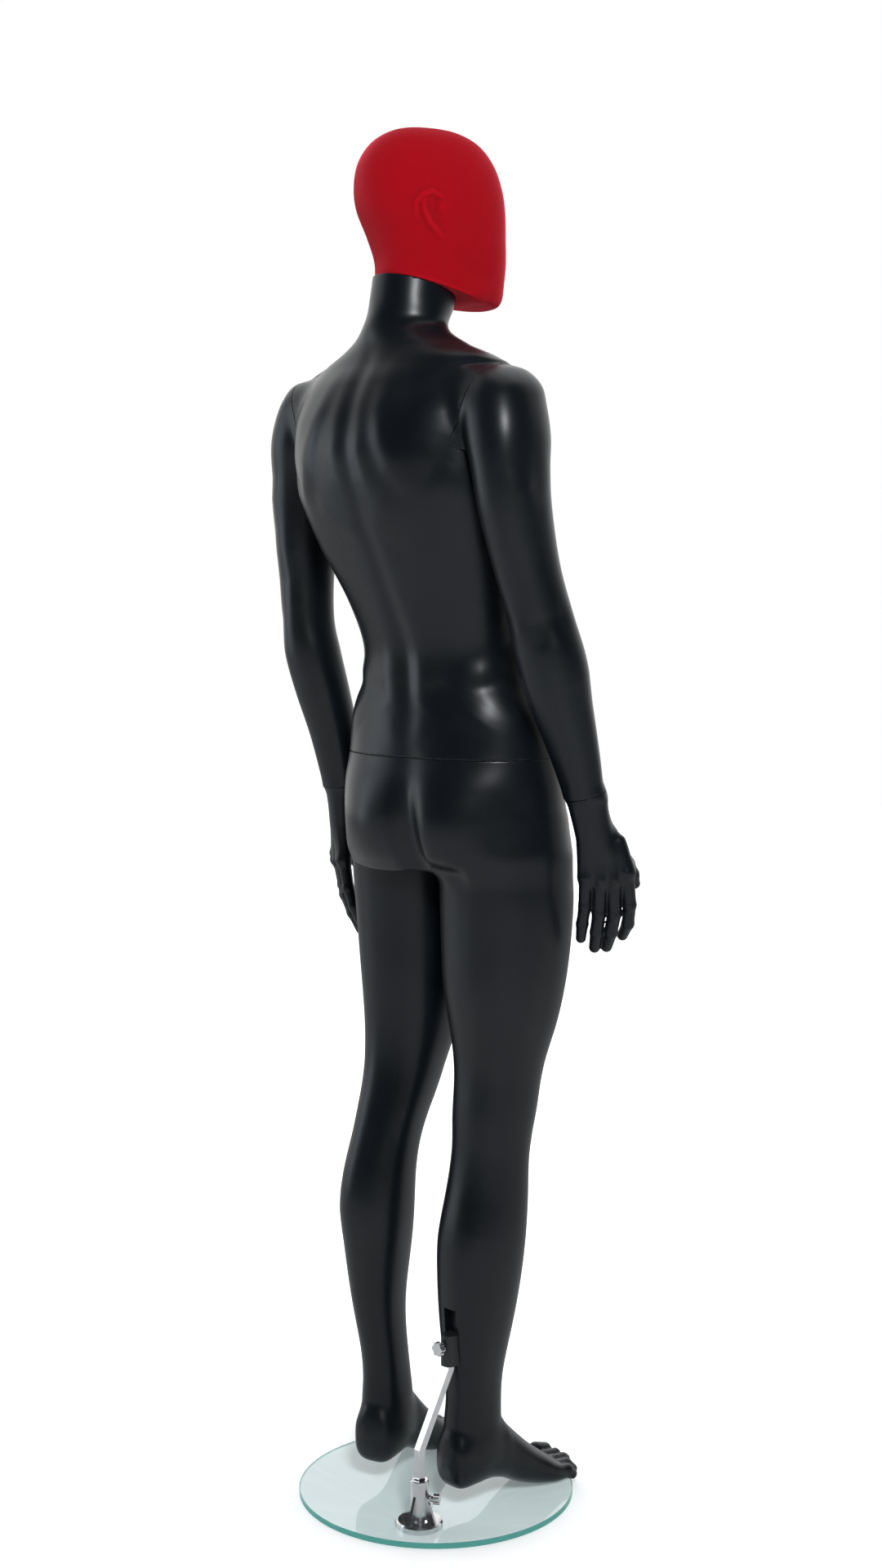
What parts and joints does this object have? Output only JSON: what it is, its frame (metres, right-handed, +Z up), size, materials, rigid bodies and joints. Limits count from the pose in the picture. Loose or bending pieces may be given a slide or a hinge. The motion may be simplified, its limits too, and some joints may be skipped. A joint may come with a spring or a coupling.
{
  "type": "full body mannequin",
  "caption": "Standing full body shop mannequin in hollow black shells with a red flocked egg head, held by a bent chrome calf rod on a round tempered glass base.",
  "frame": {"origin": "centre of the glass base's underside, on the floor", "axes": "+Z up, the figure faces -Y, its right side is -X"},
  "size_m": [0.5167, 0.38, 1.846],
  "materials": {
    "black_satin": "satin paint over glass fibre",
    "red_flock": "velvety flocked coating",
    "chrome": "polished chrome",
    "clear_glass": "polished tempered glass, green at the edge",
    "black_fitting": "moulded, semi matte",
    "zinc_steel": "zinc plated"
  },
  "bodies": {
    "base": {"glass_base": "clear_glass", "base_flange": "chrome", "base_screw": "zinc_steel"},
    "base_knob": {"base_thumb_screw": "chrome"},
    "rod": {"support_rod": "chrome"},
    "figure": {"hip_and_right_leg": "black_satin", "waist_socket": "zinc_steel", "thigh_socket": "zinc_steel", "calf_fitting": "black_fitting"},
    "calf_knob": {"calf_thumb_screw": "chrome"},
    "left_leg": {"left_leg": "black_satin", "thigh_spigot": "zinc_steel"},
    "torso": {"torso": "black_satin", "waist_spigot": "zinc_steel", "neck_plate": "zinc_steel", "right_shoulder_socket": "zinc_steel", "left_shoulder_socket": "zinc_steel"},
    "neck": {"neck_swivel": "zinc_steel"},
    "head": {"head": "red_flock", "head_disc": "zinc_steel"},
    "right_arm": {"right_arm": "black_satin", "right_arm_stud": "zinc_steel", "right_wrist_socket": "zinc_steel"},
    "left_arm": {"left_arm": "black_satin", "left_arm_stud": "zinc_steel", "left_wrist_socket": "zinc_steel"},
    "right_hand": {"right_hand": "black_satin", "right_wrist_peg": "zinc_steel"},
    "left_hand": {"left_hand": "black_satin", "left_wrist_peg": "zinc_steel"}
  },
  "joints": [
    {"name": "base_knob_turn", "type": "hinge", "parent": "base", "child": "base_knob", "pos_m": [-0.08669, 0.10972, 0.047], "axis": [-0.8829, -0.4695, 0], "continuous": true},
    {"name": "rod_slide", "type": "slide", "parent": "base", "child": "rod", "axis": [0, 0, 1], "range_m": [0, 0.03]},
    {"name": "figure_lift", "type": "slide", "parent": "rod", "child": "figure", "axis": [0, 0, 1], "range_m": [0, 0.06]},
    {"name": "calf_knob_turn", "type": "hinge", "parent": "figure", "child": "calf_knob", "pos_m": [-0.07806, 0.07581, 0.242], "axis": [0.1219, 0.9925, 0], "continuous": true},
    {"name": "left_leg_turn", "type": "hinge", "parent": "figure", "child": "left_leg", "pos_m": [0.069, -0.038, 0.876], "axis": [0, 0, 1], "range_deg": [-8, 8]},
    {"name": "torso_lift", "type": "slide", "parent": "figure", "child": "torso", "axis": [0, 0, 1], "range_m": [0, 0.06]},
    {"name": "neck_turn", "type": "hinge", "parent": "torso", "child": "neck", "pos_m": [0, 0.04, 1.64], "axis": [-0.0852, -0.2621, 0.9613], "continuous": true},
    {"name": "head_lift", "type": "slide", "parent": "neck", "child": "head", "axis": [-0.0852, -0.2621, 0.9613], "range_m": [0, 0.03]},
    {"name": "right_arm_off", "type": "slide", "parent": "torso", "child": "right_arm", "axis": [-0.9962, 0.0872, 0], "range_m": [0, 0.03]},
    {"name": "left_arm_off", "type": "slide", "parent": "torso", "child": "left_arm", "axis": [0.9962, -0.0872, 0], "range_m": [0, 0.03]},
    {"name": "right_hand_turn", "type": "hinge", "parent": "right_arm", "child": "right_hand", "pos_m": [-0.224, -0.034, 0.985], "axis": [0.1005, 0.2756, 0.956], "range_deg": [-25, 25]},
    {"name": "left_hand_turn", "type": "hinge", "parent": "left_arm", "child": "left_hand", "pos_m": [0.193, -0.021, 0.975], "axis": [-0.034, 0.225, 0.9738], "range_deg": [-25, 25]}
  ]
}
